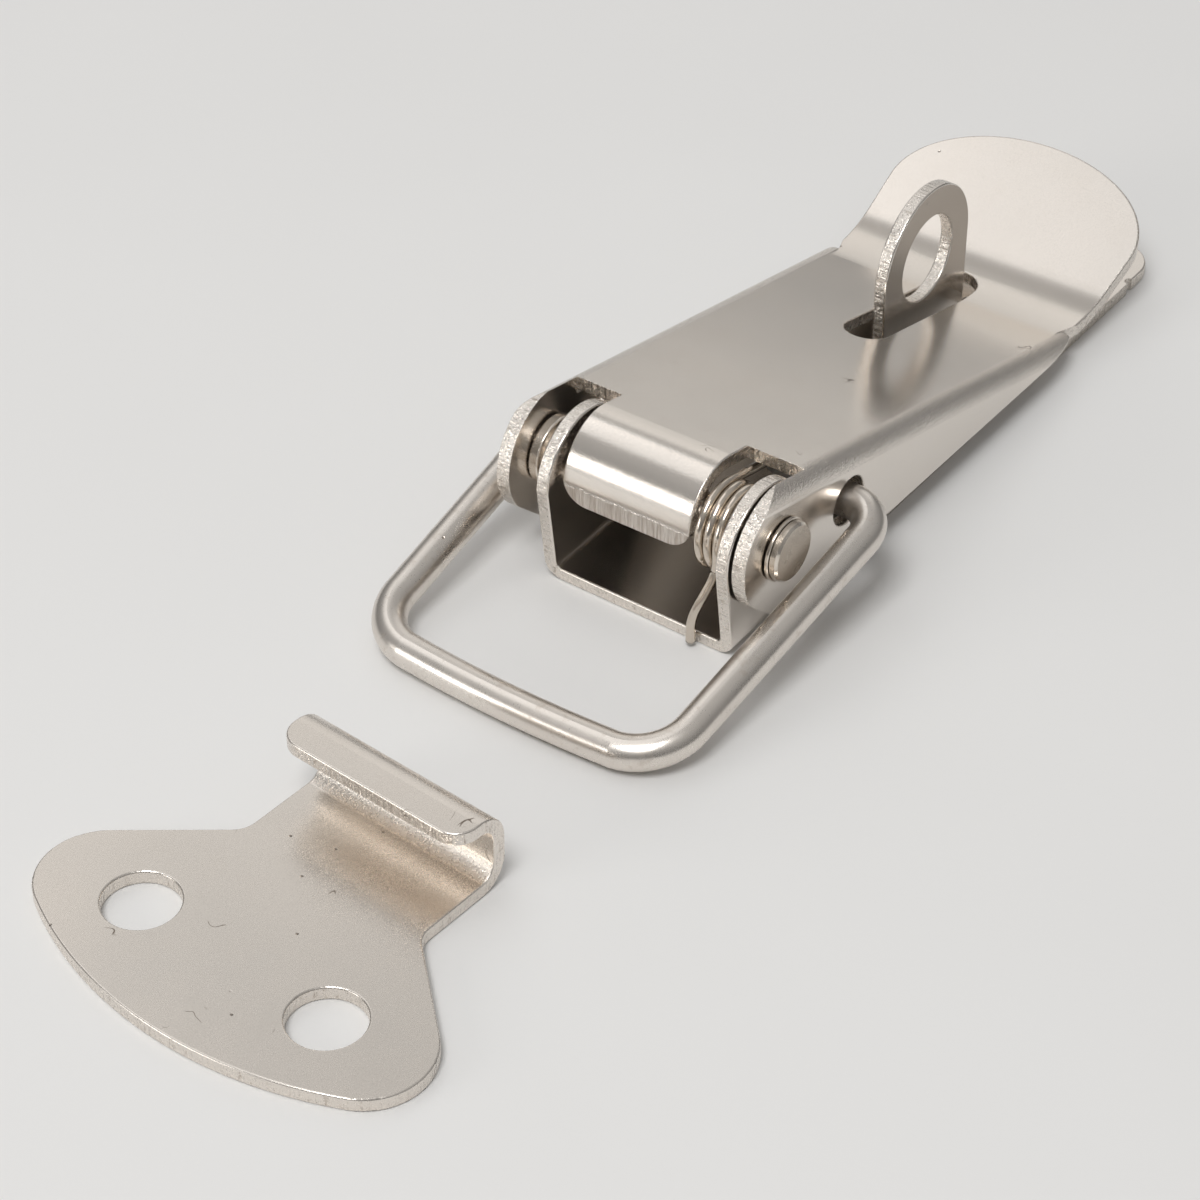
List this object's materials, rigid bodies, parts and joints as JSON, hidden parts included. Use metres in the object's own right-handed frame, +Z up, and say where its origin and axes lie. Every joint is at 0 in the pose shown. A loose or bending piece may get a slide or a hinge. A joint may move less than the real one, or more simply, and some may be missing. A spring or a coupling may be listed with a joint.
{
  "type": "toggle latch",
  "caption": "Sprung toggle latch with a wire bail, a thumb tab and a padlock eye, and its separate hooked keeper plate.",
  "frame": {"origin": "on the mounting surface, under the pivot rivet's axis and midway between the base's two ears", "axes": "+Z up out of the mounting surface, +X from the keeper towards the lever's thumb tab, Y along the pivot rivet"},
  "size_m": [0.095, 0.0273, 0.0119],
  "materials": {
    "plated_sheet": "satin-bright nickel plate on pressed steel sheet",
    "plated_wire": "bright nickel plate on drawn steel wire",
    "plated_rivet": "nickel plate on turned steel",
    "spring_wire": "plated spring wire"
  },
  "bodies": {
    "base": {"base": "plated_sheet", "rivet": "plated_rivet", "rivet_washer": "plated_rivet", "spacer_ring_inner": "plated_rivet", "spacer_ring_outer": "plated_rivet", "spring": "spring_wire"},
    "lever": {"lever": "plated_sheet"},
    "bail": {"bail": "plated_wire"},
    "keeper": {"keeper": "plated_sheet"}
  },
  "joints": [
    {"name": "lever_swing", "type": "hinge", "parent": "base", "child": "lever", "pos_m": [0, 0, 0.00686], "axis": [0, -1, 0], "range_deg": [0, 138], "stiffness_Nm_per_rad": 0.02, "springref_deg": -28.65, "deforming": ["spring"]},
    {"name": "bail_swing", "type": "hinge", "parent": "lever", "child": "bail", "pos_m": [0.0074, 0, 0.00575], "axis": [0, 1, 0], "range_deg": [0, 138]},
    {"name": "keeper_travel", "type": "slide", "parent": "base", "child": "keeper", "axis": [1, 0, 0], "range_m": [-0.01, 0.007]}
  ],
  "couplings": [
    {"joint": "bail_swing", "follows": "lever_swing", "ratio": 1}
  ]
}
